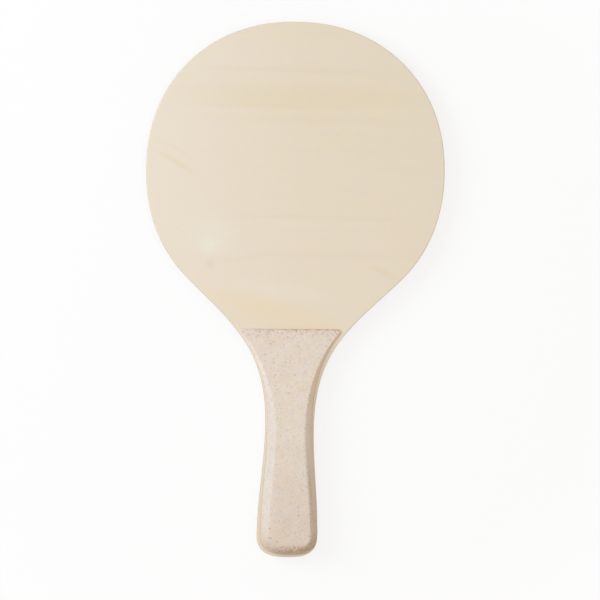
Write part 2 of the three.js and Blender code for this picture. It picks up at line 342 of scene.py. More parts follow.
add(tree, "NodeGroupOutput", {"Veneer": real})
print("the veneer tree has", len(veneer_tree.nodes), "nodes")

# %% [markdown]
# ## What the finishes share
# Every finish here is a base colour under thin coats of other colours. A coat is laid on by a share, which
# is a pattern between 0 and 1: noise with grains of a real size, a soft spot, or how the surface is turned.
# What a share has over 1 is cut off when its coat is mixed in. A shift moves a pattern, so that the two
# sides of the racket don't repeat each other.

# %% Patterns and coats
def turned_to(tree, axis):
    """How squarely a surface faces along an axis, forwards or backwards."""
    normal = add(tree, "ShaderNodeNewGeometry").outputs["Normal"]
    sides = add(tree, "ShaderNodeSeparateXYZ", {"Vector": normal})
    return add(tree, "ShaderNodeMath", {0: sides.outputs[axis]}, operation="ABSOLUTE")


def moved_noise(tree, place, grain, shift, roughness, detail=2.0):
    """Noise with grains of that size in mm."""
    moved = add(tree, "ShaderNodeMapping", {"Vector": place, "Location": shift})
    return add(tree, "ShaderNodeTexNoise",
               {"Vector": moved, "Scale": 1 / (grain * mm), "Detail": detail, "Roughness": roughness})


def soft_spot(tree, place, centre, turn, half_length, half_width):
    """A turned ellipse, its half sizes in mm, with a share of 1 at its centre that falls to 0 at its rim."""
    own = add(tree, "ShaderNodeMapping",
              {"Vector": place, "Location": centre, "Rotation": (0, 0, turn),
               "Scale": (half_length * mm, half_width * mm, 1)}, vector_type="TEXTURE")
    return add(tree, "ShaderNodeTexGradient", {"Vector": own}, gradient_type="SPHERICAL")


def layered_tone(tree, layers):
    """A tone round 0.5 from layers of noise, each with the amount by which it sways the tone."""
    tone = 0.5 - sum(amount for _, amount in layers) / 2
    for noise, amount in layers:
        tone = add(tree, "ShaderNodeMath", {0: noise, 1: amount, 2: tone}, operation="MULTIPLY_ADD")
    return tone


def product(tree, first, *others):
    """Several shares multiplied with one another."""
    for other in others:
        first = add(tree, "ShaderNodeMath", {0: first, 1: other}, operation="MULTIPLY")
    return first


def coated(tree, base, coats):
    """A base colour under coats, each a share and a colour."""
    colour = linear(base)
    for share, tint in coats:
        tint = linear(tint) if isinstance(tint, str) else tint
        colour = add(tree, "ShaderNodeMix", {"Factor": share, "A": colour, "B": tint}, data_type="RGBA")
    return colour


print("noise with grains of 1 mm has a scale of", round(1 / mm))

# %% [markdown]
# ## Poplar veneer
# Plywood for beach rackets is mostly poplar: cream white, with hardly any pores and a faint ribbon figure
# along the grain. Peeled veneer shows long soft streaks, a few coloured growth marks, and here and there a
# small knot. What the eye gets is a pale, matt, nearly even surface, so every layer of the pattern is kept
# very faint. The grain of the two faces runs across the racket, along X.

# %% Finish of the face veneers
# Streaks along the grain, from broad ribbons to single fibres: length and width in mm, and amount.
# The finest fibres are really 0.05 mm wide, and are drawn as wide as one picture element.
poplar_streaks = [(190, 26, 0.5), (110, 5, 0.28), (50, 1.6, 0.24), (9, 0.8, 0.6)]
cloud_grain = 4.5
fibre_depth = 0.03 * mm


def poplar_veneer(name, marks, shift):
    """Sanded poplar with its grain along X. Marks are ellipses of another colour, drawn out by the grain."""
    material, tree, place = new_material(name)
    layers = []
    for length, width, amount in poplar_streaks:
        drawn_out = add(tree, "ShaderNodeMapping",
                        {"Vector": place, "Location": (shift, shift, 0),
                         "Scale": (1 / (length * mm), 1 / (width * mm), 1 / (width * mm))})
        noise = add(tree, "ShaderNodeTexNoise",
                    {"Vector": drawn_out, "Scale": 1.0, "Detail": 2.0, "Roughness": 0.5})
        layers.append((noise, amount))
    tone = layered_tone(tree, layers)
    coats = [(tone, "#e9ded0")]

    # Faint clouds of a yellower cream, twice as long as wide, and of a pinker and a greener one.
    drawn_out = add(tree, "ShaderNodeMapping", {"Vector": place, "Scale": (1 / 2, 1, 1)})
    clouds = add(tree, "ShaderNodeTexNoise",
                 {"Vector": drawn_out, "Scale": 1 / (cloud_grain * mm), "Detail": 3.0, "Roughness": 0.65})
    cloudy = add(tree, "ShaderNodeMapRange",
                 {"Value": clouds, "From Min": 0.32, "From Max": 0.68, "To Max": 0.62})
    coats.append((cloudy, "#e9ddbd"))
    for grain, tint in ((3.6, "#ecd7ca"), (4.4, "#e0ddc3")):
        clouds = moved_noise(tree, place, grain, (grain, shift, 0), 0.6)
        cast = add(tree, "ShaderNodeMapRange",
                   {"Value": clouds, "From Min": 0.46, "From Max": 0.76, "To Max": 0.38})
        coats.append((cast, tint))

    # Painted light: the left side, towards the side lamp, and the lower end, under the pool of light, are
    # painted paler: where that starts and ends in mm.
    sides = add(tree, "ShaderNodeSeparateXYZ", {"Vector": place})
    for axis, start, end, amount, tint in (("X", 10, -106, 0.6, "#efe4d6"), ("Y", 150, -30, 0.5, "#ecdfcc")):
        paler = add(tree, "ShaderNodeMapRange",
                    {"Value": sides.outputs[axis], "From Min": start * mm, "From Max": end * mm,
                     "To Max": amount})
        coats.append((paler, tint))

    for x, y, half_length, half_width, slant, tint, amount in marks:
        spread = soft_spot(tree, place, (x * mm, y * mm, wood_top), math.radians(slant),
                           half_length, half_width)
        spread = add(tree, "ShaderNodeMapRange",
                     {"Value": spread, "From Max": 0.8}, interpolation_type="SMOOTHSTEP")
        broken = add(tree, "ShaderNodeMapRange",
                     {"Value": tone, "From Min": 0.2, "From Max": 0.8,
                      "To Min": 0.5 * amount, "To Max": 1.5 * amount})
        coats.append((product(tree, spread, broken), tint))

    # The arris and the edge show cut fibres: darker where they end, at the sides, and paler elsewhere.
    cut = add(tree, "ShaderNodeMapRange",
              {"Value": turned_to(tree, "Z"), "From Min": 0.97, "From Max": 0.4},
              interpolation_type="SMOOTHSTEP")
    coats.append((cut, coated(tree, "#e4d2b6", [(turned_to(tree, "X"), "#dac09c")])))

    fibres = layers[-1][0]
    raised = add(tree, "ShaderNodeBump", {"Height": fibres, "Strength": 0.35, "Distance": fibre_depth})
    matt = add(tree, "ShaderNodeMapRange", {"Value": tone, "To Min": 0.72, "To Max": 0.6})
    feed(tree, tree.nodes["Principled BSDF"],
         {"Base Color": coated(tree, "#e3d4bc", coats), "Roughness": matt, "Normal": raised,
          "IOR": 1.45, "Specular IOR Level": 0.3})
    return material


# Growth marks: place, half length and half width in mm, slant in degrees, tint and amount.
front_marks = [
    (-60, 36, 26, 20, 0, "#ebe6d3", 0.4),  # pale heart of a growth ring
    (-60.5, 31, 11, 9, 0, "#eef0e0", 0.27),
    (-58.7, 16.9, 5, 5, 0, "#e4c5b4", 0.3),  # small knot
    (-36, 21, 30, 4, 9, "#e9d6c4", 0.3),  # and the stain that trails from it
    (-85.7, 88.4, 25, 2.6, -29, "#e8d2aa", 0.36),  # mineral streaks that cross the grain
    (-86, 98, 22, 2.6, -28, "#e8d2aa", 0.16),
    (8, 136.6, 125, 14, 0, "#e0cfa6", 0.25),  # broad yellowish band with softer lines in it
    (0, 155.5, 95, 2.8, 0, "#dfcaa6", 0.16),
    (-20, 129.5, 80, 3.5, 0, "#e2cea9", 0.16),
    (10, 120.6, 110, 6, 0, "#e2d0ab", 0.16),
    (20, 51.4, 90, 2.8, 0, "#dfcdaa", 0.14),
    (10, 47.2, 90, 3.2, 0, "#ece3d2", 0.2),
    (25, 25, 80, 5, 0, "#e5d0b8", 0.18),
    (-10, -1, 62, 9, -9, "#ece2d1", 0.4),  # pale and warm bands beside the tang
    (-19, -13.3, 68, 10, -13, "#eedbb8", 0.4),
    (-10, -23, 76, 18, -13, "#e8d5b2", 0.26),
    (64, 14, 18, 3, -24, "#e5cea8", 0.3),
    (84, 30, 40, 22, -40, "#e6d5b4", 0.12),
    # the tang is painted darker towards the butt as painted shade
    (0, -172, 200, 90, 0, "#d3b98c", 0.24),  # tang, darker towards the butt
]
rear_marks = [
    (38, 62, 5, 4, 0, "#dfc2a8", 0.5),
    (20, 96, 90, 2, 3, "#dcc6a0", 0.45),
    (-30, 20, 70, 9, 8, "#ecd9b4", 0.5),
    (-50, 120, 60, 14, -6, "#e9e3cf", 0.4),
]
face_finish = {
    "front": poplar_veneer("sanded_poplar_face_veneer", front_marks, 0.0),
    "rear": poplar_veneer("sanded_poplar_back_veneer", rear_marks, 7.3),
}
print("growth marks:", len(front_marks), "on the front and", len(rear_marks), "on the back")

# %% [markdown]
# ## Inner veneers
# Three more veneers lie between the faces, and only their cut edges show. Each is laid across its
# neighbours, so the cross veneers show long fibres at the sides, where the others show fibre ends. Fibre
# ends drink dust and darken, which is what draws the stripes along the edge of any plywood.

# %% Finish of the inner veneers
cell_grain = 0.9 * mm
ribbon_grain = 14 * mm
cell_depth = 0.06 * mm


def cut_veneer_edge(name, end_grain_axis, along, ends):
    """Edge of a poplar veneer, with fine dashes of open fibre where the fibres end."""
    material, tree, place = new_material(name)
    cells = add(tree, "ShaderNodeTexNoise",
                {"Vector": place, "Scale": 1 / cell_grain, "Detail": 3.0, "Roughness": 0.65})
    ribbon = add(tree, "ShaderNodeTexNoise",
                 {"Vector": place, "Scale": 1 / ribbon_grain, "Detail": 2.0, "Roughness": 0.5})
    open_fibre = add(tree, "ShaderNodeMapRange",
                     {"Value": product(tree, cells, ribbon), "From Min": 0.34, "From Max": 0.12,
                      "To Max": 0.6})
    coats = [(turned_to(tree, end_grain_axis), ends), (open_fibre, "#ae8a60")]
    raised = add(tree, "ShaderNodeBump", {"Height": cells, "Strength": 0.5, "Distance": cell_depth})
    feed(tree, tree.nodes["Principled BSDF"],
         {"Base Color": coated(tree, along, coats), "Roughness": 0.8, "Normal": raised,
          "Specular IOR Level": 0.2})
    return material


cross_finish = cut_veneer_edge("poplar_cross_veneer_edge", "Y", "#e0caa8", "#c9a67c")
core_finish = cut_veneer_edge("poplar_core_veneer_edge", "X", "#e4d2b2", "#d2b48b")
print("inner veneers wear", cross_finish.name, "and", core_finish.name)

# %% [markdown]
# ## Making the five veneers
# Each veneer is a drawn outline, a curve, that the tree turns into wood. The result becomes a plain mesh,
# and takes the place of the model's faceted node.

# %% Veneers
outer_arris = 0.8 * mm
glue_arris = 0.08 * mm


def veneer(name, node, finish, upper_arris, lower_arris):
    low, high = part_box(node)
    outline = bpy.data.curves.new(name + "_outline", "CURVE")
    outline.dimensions = "3D"
    for ring in wood_rims:
        spline = outline.splines.new("POLY")
        spline.points.add(len(ring) - 1)
        spline.use_cyclic_u = True
        for point, corner in zip(spline.points, ring):
            point.co = (corner.x, corner.y, 0, 1)
    drawing = bpy.data.objects.new(name + "_outline", outline)
    scene.collection.objects.link(drawing)

    rule = drawing.modifiers.new("sanded_veneer", "NODES")
    rule.node_group = veneer_tree
    sizes = {"Level": high.z, "Thickness": high.z - low.z, "Upper Arris": upper_arris,
             "Lower Arris": lower_arris, "Finish": finish}
    for item in veneer_tree.interface.items_tree:
        if item.name in sizes:
            rule[item.identifier] = sizes[item.name]
    made = drawing.evaluated_get(bpy.context.evaluated_depsgraph_get())
    piece = bpy.data.objects.new(name, bpy.data.meshes.new_from_object(made))
    piece.data.materials.pop(index=0)  # a curve's mesh starts with an empty slot
    bpy.data.objects.remove(drawing)
    scene.collection.objects.link(piece)

    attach(piece, "root")
    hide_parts(node)
    print(name, "is", round((high.z - low.z) / mm, 2), "mm thick, with", len(piece.data.polygons), "faces")


veneer("face_veneer_front", "face_ply_front", face_finish["front"], outer_arris, glue_arris)
veneer("cross_veneer_front", "cross_ply_front", cross_finish, glue_arris, glue_arris)
veneer("core_veneer", "core_ply", core_finish, glue_arris, glue_arris)
veneer("cross_veneer_rear", "cross_ply_rear", cross_finish, glue_arris, glue_arris)
veneer("face_veneer_rear", "face_ply_rear", face_finish["rear"], glue_arris, outer_arris)

# %% [markdown]
# ## Reading the grip's foot line
# Both shells stand on the same foot line, a little askew on the tang. It is read from the flat underside of
# the front shell, and its longest edge is the straight one towards the blade. That edge gives the grip its
# own small coordinate system: X across, Y up from the butt, and the turn on the tang. Half of the line is
# enough, because it is the same on both sides.

# %% Foot line of the grip
foot_step = 1.3 * mm

front_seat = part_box("adhesive_film_front")[1].z
rear_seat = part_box("adhesive_film_rear")[0].z
front_shell = merged_copy(nodes["grip_shell_front"])
foot_ring = rims(flat_faces(front_shell, front_seat))[0]
front_shell.free()

count = len(foot_ring)
top_edge = max(range(count), key=lambda i: (foot_ring[i] - foot_ring[i - 1]).length)
top_ends = sorted((foot_ring[top_edge - 1], foot_ring[top_edge]), key=lambda end: end.x)
top_middle = (top_ends[0] + top_ends[1]) / 2
grip_turn = math.atan2(top_ends[1].y - top_ends[0].y, top_ends[1].x - top_ends[0].x)
turned = Matrix.Rotation(grip_turn, 3, "Z")
foot_ring = [turned.transposed() @ (point - top_middle) for point in foot_ring]
grip_length = -min(point.y for point in foot_ring)
foot_ring = [Vector((point.x, point.y + grip_length, 0)) for point in foot_ring]

middle = min(range(count), key=lambda i: foot_ring[i].y + abs(foot_ring[i].x))
way = 1 if foot_ring[(middle + 1) % count].x > 0 else -1
half_ring = [foot_ring[(middle + way * i) % count] for i in range(count // 2 + 1)]


def carried_on(half):
    """Half a foot line with one more point at either end, where the other half and the top edge go on."""
    return [Vector((-half[1].x, half[1].y, 0)), *half, half[-1] - Vector((foot_step, 0, 0))]


def on_racket(x, y):
    """A place on the racket, from its X and Y on the grip, with Y counted up from the top edge."""
    return turned @ Vector((x, y, 0)) + top_middle


foot_side = smooth_line(carried_on(half_ring), foot_step)
print("grip:", round(grip_length / mm, 1), "mm long, turned", round(math.degrees(grip_turn), 2), "degrees,",
      len(foot_side), "points on each side")

# %% [markdown]
# ## Where the grip changes colour
# The grip shells are moulded from polypropylene filled with ground wheat straw. The grip is painted darker
# towards its butt as painted shade, the straw crowds and browns where the mould filled last, and each bevel
# has painted light or shade of its own. All of that depends on where a point is on the grip, and on a few
# noises that break it up. So it starts from three tables: noises, soft spots, and fades that turn any of
# these into a share.

# %% Noises, spots and fades on the grip
# Layers of clouds under every coat, from broad to fine: grain in mm, and amount.
straw_clouds = [(11, 0.43), (3.2, 0.47), (0.9, 0.3)]
finest_patch = 2.1
tear_size = 0.9 * mm

# A soft spot has a centre, a half length across the grip and a half width along it, in mm.
grip_spots = {
    "gate": (on_racket(7.5 * mm, -grip_length), 38, 27),
    "right_corner": (top_ends[1], 12, 7),
    "line_middle": (on_racket(15 * mm, -112 * mm), 16, 30),
}

# A fade follows a distance in mm: across the grip from its middle, along it from its top edge, or out from
# the middle of the wood. Or it follows the tilt, 1 on a level surface and 0 on an upright one, a noise, or a
# spot. Then come where it starts and ends, its share at either end, and how it runs between them.
soft, even = "SMOOTHSTEP", "LINEAR"
grip_fades = {
    # painted shade: darker towards the butt, and less so along the left side
    "darker": ("along", -70, -145, 0, 0.42, soft),
    "shade_across": ("across", -18, -3, 0.1, 1, soft),
    "butt_end": ("along", -136, -152, 0, 1, soft),

    "bevel": ("tilt", 0.97, 0.7, 0, 1, soft),
    "left": ("across", -6, -10, 0, 1, soft),
    "right": ("across", 6, 10, 0, 1, soft),
    # painted light and shade on the bevels: highlights on the left, shade and warm bounced light on the right
    "left_bevel_highlight": ("along", -136, -152, 0.26, 0, soft),
    "top_left_rim_highlight": ("along", -54, -30, 0, 0.38, even),
    "right_foot_shade": ("out", 11, 4, 0.04, 0.27, even),
    "right_low_shade": ("along", -95, -140, 0, 0.12, even),
    "right_warm_light": ("along", -75, -35, 0, 0.2, even),

    "under_top": ("along", -10, 0, 0, 0.6, soft),
    "late_filled": ("across", -34, -20, 0.35, 1, soft),
    "flow": ("gate", 0.1, 0.75, 0, 1, soft),
    "off_back": ("out", 12.499, 12.1, 0, 1, even),
    "below_ridge": ("tilt", 0.71, 0.81, 0, 1, even),
    "above_ridge": ("tilt", 0.99, 0.89, 0, 1, even),
    "right_half": ("across", 4, 9, 0, 0.6, even),
    "near_butt": ("along", -112, -148, 0, 0.22, even),
    "thinned": ("patches", 0.35, 0.65, 0.2, -0.2, even),  # adds specks or takes them off
    "strands": ("torn", 0.35, 0.65, 0.35, 1.3, even),

    "lip": ("along", -1.1, -0.3, 0, 0.5, soft),
    "gaps": ("patches", 0.42, 0.6, 0.3, 1, even),
    "foot": ("out", 4.8, 3.2, 0, 0.35, soft),
    "thick_end": ("along", -20, -60, 0.25, 1, even),
    "right_line": ("tilt", 0.74, 0.54, 0, 0.4, soft),
    "line_height": ("out", 7.8, 9.8, 0, 1, soft),
    "butt_slope": ("out", 12.45, 10, 0, 1, soft),
    "uneven": ("tone", 0.75, 0.25, 0.4, 1.3, even),
    "satin": ("tone", 0, 1, 0.52, 0.42, even),  # a roughness
}


def grip_patterns(tree, place, shift):
    """The noises, spots and fades as nodes, by name."""
    own = add(tree, "ShaderNodeMapping",
              {"Vector": place, "Location": top_middle, "Rotation": (0, 0, grip_turn)}, vector_type="TEXTURE")
    own = add(tree, "ShaderNodeSeparateXYZ", {"Vector": own}).outputs
    out = add(tree, "ShaderNodeMath", {0: own["Z"], 1: (front_seat - rear_seat) / 2}, operation="ADD")
    out = add(tree, "ShaderNodeMath", {0: out}, operation="ABSOLUTE")
    distances = {"across": own["X"], "along": own["Y"], "out": out}

    layers = [(moved_noise(tree, place, grain, (shift, 0, shift), 0.55), amount)
              for grain, amount in straw_clouds]
    pattern = {
        "tilt": turned_to(tree, "Z"),
        "tone": layered_tone(tree, layers),
        "finest": layers[-1][0],
        "patches": moved_noise(tree, place, finest_patch, (finest_patch, shift, 0), 0.6),
        "torn": add(tree, "ShaderNodeTexNoise", {"Vector": place, "Scale": 1 / tear_size, "Detail": 2.0}),
    }
    for name, (centre, half_length, half_width) in grip_spots.items():
        pattern[name] = soft_spot(tree, place, centre, grip_turn, half_length, half_width)
    for name, (kind, start, end, first_share, last_share, run) in grip_fades.items():
        measure, unit = (distances[kind], mm) if kind in distances else (pattern[kind], 1)
        pattern[name] = add(tree, "ShaderNodeMapRange",
                            {"Value": measure, "From Min": start * unit, "From Max": end * unit,
                             "To Min": first_share, "To Max": last_share}, interpolation_type=run)
    return pattern


print("fades on the grip:", len(grip_fades), "and soft spots:", len(grip_spots))

# %% [markdown]
# ## Painted shade and light on the plastic
# The grip is painted darker towards its butt as painted shade, but hardly along its left side. Straw dust
# clouds it in greyer, yellower and pinker patches of a few millimetres. On the slopes, the left bevel is
# painted paler as a highlight, most of all at its thin end. The right one has a painted warm cast of bounced
# light, and painted shade lower down.

# %% Coats of painted shade, patches, and painted light and shade on the bevels
# Patches: grain in mm, the noise at which they start, amount and tint.
straw_patches = [
    (7, 0.45, 0.52, "#dad4d0"), (5, 0.47, 0.36, "#dfc6a6"), (8, 0.48, 0.38, "#e4d4ac"),
    (3.3, 0.5, 0.42, "#e6c8ba"), (2.4, 0.48, 0.32, "#cfc5c2"), (finest_patch, 0.5, 0.36, "#e0c29e"),
]
patch_softness = 0.27


def butt_shade_coat(tree, pattern):
    # Painted shade: the grip is painted darker towards its butt, less along its left side.
    shaded_part = add(tree, "ShaderNodeMath", {0: pattern["shade_across"], 1: pattern["butt_end"]},
                  operation="MAXIMUM")
    return product(tree, pattern["darker"], shaded_part), "#c9b5a1"


def patch_coats(tree, place, shift):
    coats = []
    for grain, least, amount, tint in straw_patches:
        noise = moved_noise(tree, place, grain, (grain, shift, 0), 0.6)
        patch = add(tree, "ShaderNodeMapRange",
                    {"Value": noise, "From Min": least, "From Max": least + patch_softness,
                     "To Max": amount}, interpolation_type=soft)
        coats.append((patch, tint))
    return coats


def bevel_light_and_shade(tree, pattern):
    # Painted light and shade: a paler highlight on the left bevel, most of all at its thin end, painted shade
    # low on the right bevel and at its foot, and a warm cast of bounced light higher up on it.
    right_shade = add(tree, "ShaderNodeMath", {0: pattern["right_foot_shade"], 1: pattern["right_low_shade"]}, operation="ADD")
    casts = (("left", pattern["left_bevel_highlight"], "#e6e2df"), ("right", right_shade, "#b98e62"),
             ("right", pattern["right_warm_light"], "#f6d4a0"), ("left", pattern["top_left_rim_highlight"], "#fcf4ea"))
    return [(product(tree, pattern[side], pattern["bevel"], amount), tint) for side, amount, tint in casts]


print("finest of the", len(straw_patches), "kinds of patches:", finest_patch, "mm")

# %% [markdown]
# ## Straw in the plastic
# Straw flakes lie flat in the surface, ragged and longer than wide. Most are pale, some orange-brown, and a
# few dark brown. They crowd under the top edge, most at its right end, on the butt round the gate where the
# plastic was injected, along the right ridge, and a little all over the butt end. Where they crowd most they
# mat into a band.

# %% Coats of straw
# Specks: the cell that holds one and its radius in mm, how many cells have one, how much they crowd, how
# they lie in degrees, their tint and amount.
straw_specks = [
    (1.5, 0.62, 0.42, 0.35, 20, "#cdb293", 0.5),
    (2.4, 0.85, 0.34, 0.5, 75, "#d3a678", 0.4),
    (3.8, 0.95, 0.22, 0.5, -40, "#b98757", 0.42),
    (3.2, 0.95, 0.01, 0.45, 10, "#8f5f34", 0.42),
    (8.5, 0.75, 0.12, 0.1, 50, "#8a5c38", 0.26),
]
speck_dip, speck_roll = 0.4, 0.3
speck_shape = Vector((1.3, 0.8, 1.0))
corner_crowding = 0.4
mat_grain = 1.9
mat_crowding = 0.22


def straw_crowding(tree, pattern):
    """How densely the straw lies, from 0 where it is sparse to about 1."""
    under_top = product(tree, pattern["under_top"], pattern["late_filled"])
    crowd = add(tree, "ShaderNodeMath", {0: pattern["right_corner"], 1: corner_crowding, 2: under_top},
                operation="MULTIPLY_ADD")
    on_butt = product(tree, pattern["off_back"], pattern["flow"])
    ridge = product(tree, pattern["below_ridge"], pattern["above_ridge"], pattern["right_half"])
    for other in (on_butt, ridge, pattern["near_butt"]):
        crowd = add(tree, "ShaderNodeMath", {0: crowd, 1: other}, operation="MAXIMUM")
    return crowd


def speck_coats(tree, place, shift, pattern, crowd):
    """Ragged flakes, one in each cell that draws a high enough number."""
    ragged = add(tree, "ShaderNodeVectorMath",
                 {0: pattern["torn"].outputs["Color"], 1: (tear_size,) * 3, 2: place},
                 operation="MULTIPLY_ADD")
    coats = []
    for cell, radius, chance, crowding, lie, tint, amount in straw_specks:
        flakes = add(tree, "ShaderNodeMapping",
                     {"Vector": ragged, "Location": (shift, cell, 0),
                      "Rotation": (speck_dip, speck_roll, math.radians(lie)),
                      "Scale": speck_shape * cell * mm}, vector_type="TEXTURE")
        scattered = add(tree, "ShaderNodeTexVoronoi", {"Vector": flakes, "Scale": 1.0})
        drawn = add(tree, "ShaderNodeSeparateColor", {"Color": scattered.outputs["Color"]})
        for sway, weight in ((crowd, crowding), (pattern["thinned"], chance)):
            drawn = add(tree, "ShaderNodeMath", {0: sway, 1: weight, 2: drawn}, operation="MULTIPLY_ADD")
        present = add(tree, "ShaderNodeMath", {0: drawn, 1: 1 - chance}, operation="GREATER_THAN")
        dot = add(tree, "ShaderNodeMapRange",
                  {"Value": scattered.outputs["Distance"], "From Min": radius / cell,
                   "From Max": 0.4 * radius / cell, "To Max": amount}, interpolation_type=soft)
        coats.append((product(tree, dot, present), tint))
    return coats


def matted_coat(tree, place, shift, pattern, crowd):
    """Matted straw: rare blotches on the back, and a ragged band where the straw crowds."""
    mats = moved_noise(tree, place, mat_grain, (shift, shift, 0), 0.65, detail=3.0)
    matted = add(tree, "ShaderNodeMath", {0: crowd, 1: mat_crowding, 2: mats}, operation="MULTIPLY_ADD")
    matted = add(tree, "ShaderNodeMapRange",
                 {"Value": matted, "From Min": 0.6, "From Max": 0.78, "To Max": 0.6}, interpolation_type=soft)
    return product(tree, matted, pattern["strands"]), "#ae7945"


print("kinds of straw specks:", len(straw_specks))

# %% [markdown]
# ## Browned plastic, and painted shade at its foot
# Hot plastic browns where it flows last or longest. That is the lip of the top edge, broken by pale gaps,
# and the slope of the butt round the gate. Along the foot of the bevels next to the wood, the same brown is
# painted shade. A dark line runs along the lower part of the right bevel.

# %% Coats of brown, and the whole finish of the grip
butt_burn = 0.31
mottle_depth = 0.05 * mm


def browned_coats(tree, pattern):
    lip = product(tree, pattern["lip"], pattern["late_filled"], pattern["gaps"])
    # The lip's brown is the plastic's own. The brown at the foot of the bevels is painted shade where the
    # shell meets the wood.
    foot = product(tree, pattern["foot"], pattern["bevel"], pattern["thick_end"])
    edges = add(tree, "ShaderNodeMath", {0: lip, 1: foot}, operation="MAXIMUM")
    line = product(tree, pattern["right_line"], pattern["line_height"], pattern["line_middle"])
    burnt = product(tree, pattern["butt_slope"], pattern["flow"], butt_burn)
    return [(product(tree, edges, pattern["uneven"]), "#b38a60"),
            (product(tree, line, pattern["uneven"]), "#a0703f"), (burnt, "#86684f")]


def straw_plastic(name, shift):
    """Straw-filled polypropylene: a warm off-white under all the coats."""
    material, tree, place = new_material(name)
    pattern = grip_patterns(tree, place, shift)
    crowd = straw_crowding(tree, pattern)
    coats = [(pattern["tone"], "#ebe2d7"), butt_shade_coat(tree, pattern), *patch_coats(tree, place, shift),
             *bevel_light_and_shade(tree, pattern), *speck_coats(tree, place, shift, pattern, crowd),
             matted_coat(tree, place, shift, pattern, crowd), *browned_coats(tree, pattern)]
    raised = add(tree, "ShaderNodeBump",
                 {"Height": pattern["finest"], "Strength": 0.25, "Distance": mottle_depth})
    feed(tree, tree.nodes["Principled BSDF"],
         {"Base Color": coated(tree, "#dbcab7", coats), "Roughness": pattern["satin"], "Normal": raised,
          "IOR": 1.49})
    return material


front_finish = straw_plastic("wheat_straw_polypropylene", 0.0)
rear_finish = straw_plastic("wheat_straw_polypropylene_rear", 0.31)
print(front_finish.name, "is made with", len(front_finish.node_tree.nodes), "nodes")

# %% [markdown]
# ## The section of a shell
# At its sides a shell rises from an upright foot over a flat bevel to a soft ridge. At the butt it is a
# quarter of an ellipse. Both sections are cut into the same number of steps, so that the one can turn into
# the other round the corners. The back is level from the butt to the waist and then ramps down to a thin
# edge, and the change between the two is eased, as a mould maker would.

# %% Section of a shell
ramp_length = 69.3 * mm
ramp_softness = 10 * mm
top_edge_height = 1.05 * mm
foot_height = 0.7 * mm
bevel_width = 5.1 * mm
ridge_radius = 2.6 * mm
end_round_width = 8 * mm
butt_half_width = 21.4 * mm
lip_radius = 0.18 * mm
rim_share = 0.12
full_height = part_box("grip_shell_front")[1].z - front_seat
rise = full_height - foot_height
bevel_slope = math.atan2(rise, bevel_width)
ridge_centre = bevel_width + ridge_radius * math.tan(bevel_slope / 2)
bevel_steps, ridge_steps = 4, 12
bevel_share = bevel_steps / (bevel_steps + ridge_steps)


def side_section(share):
    """Inset and height over the foot line at the sides, from 0 at the foot to 1 at the back."""
    angle = bevel_slope * min(1, (1 - share) / (1 - bevel_share))
    inset = ridge_centre - ridge_radius * math.sin(angle)
    height = full_height - ridge_radius * (1 - math.cos(angle))
    part = min(1, share / bevel_share)
    return inset * part, foot_height + (height - foot_height) * part


def end_section(share):
    angle = share * math.pi / 2
    return end_round_width * (1 - math.cos(angle)), foot_height + rise * math.sin(angle)


def back_height(y):
    """Height of the back over the foot line, eased where the level part turns into the ramp."""
    past = y - (grip_length - ramp_length)
    eased = max(0, past) if abs(past) > ramp_softness else (past + ramp_softness) ** 2 / (4 * ramp_softness)
    return full_height - (full_height - top_edge_height) * min(1, eased / ramp_length)


def slimming(y):
    return (back_height(y) - foot_height) / rise


def narrowing(y):
    """Share of the section's width, which shrinks less than its height, so that the thin end keeps a rim."""
    return slimming(y) + rim_share * (1 - slimming(y)) ** 2


print("a shell is", round(full_height / mm, 2), "mm high, with bevels of",
      round(math.degrees(bevel_slope)), "degrees")

# %% [markdown]
# ## Lofting a shell
# A ring of points is the foot line, drawn in and raised by one step of the section. Near the butt the rings
# draw in towards one point, as the round end of a spoon does, and elsewhere square to the edge. Rows across
# close the back. The inside of the moulding, with its ribs, bosses, pegs or sockets, stays as the model has
# it: the model's outer form is taken off a copy, and the finer one is sewn to what is left.

# %% Loft of a shell
back_columns = 14
lip_round = 0.3  # the lip's middle point, as a share of its radius, where a true round has 0.29


def foot_places():
    """Each point of the foot line, the way its slope leans in, and how squarely it faces the end."""
    waist = grip_length - ramp_length
    focus = Vector((0, butt_half_width, 0))
    places = []
    longer = carried_on(foot_side)
    for before, point, after in zip(longer, foot_side, longer[2:]):
        run = (after - before).normalized()
        inward = Vector((-run.y, run.x, 0))
        lean = (focus - point).normalized() if point.y < focus.y else inward
        endwards = max(0, inward.y) if point.y < waist else 0
        places.append((point, lean / lean.dot(inward), endwards ** 2))
    return places


def loft_ring(right):
    """A whole ring from its right-hand side: on across the straight top edge and down the left-hand side."""
    end = right[-1]
    across = [Vector((end.x * (1 - 2 * j / back_columns), end.y, end.z)) for j in range(1, back_columns)]
    left = [Vector((-point.x, point.y, point.z)) for point in reversed(right[1:])]
    return right + across + left


def shell_rings():
    """The rings from the foot to the back: an upright foot with a rounded lip, and the section over it."""
    places = foot_places()
    rings = []
    lip_mid = lip_round * lip_radius
    foot_section = ((lip_radius, 0), (lip_mid, lip_mid), (0, lip_radius), (0, foot_height - lip_radius))
    for inset, height in foot_section:
        rings.append(loft_ring([point + lean * inset + Vector((0, 0, height)) for point, lean, _ in places]))
    steps = bevel_steps + ridge_steps
    for share in (lip_radius / rise, *(i / steps for i in range(1, steps + 1))):
        (side_inset, side_height), (end_inset, end_height) = side_section(share), end_section(share)
        right = []
        for point, lean, endwards in places:
            inset = side_inset + (end_inset - side_inset) * endwards
            height = side_height + (end_height - side_height) * endwards
            drawn_in = point + lean * inset * narrowing(point.y)
            drawn_in.z = foot_height + (height - foot_height) * slimming(drawn_in.y)
            right.append(drawn_in)
        rings.append(loft_ring(right))
    return rings


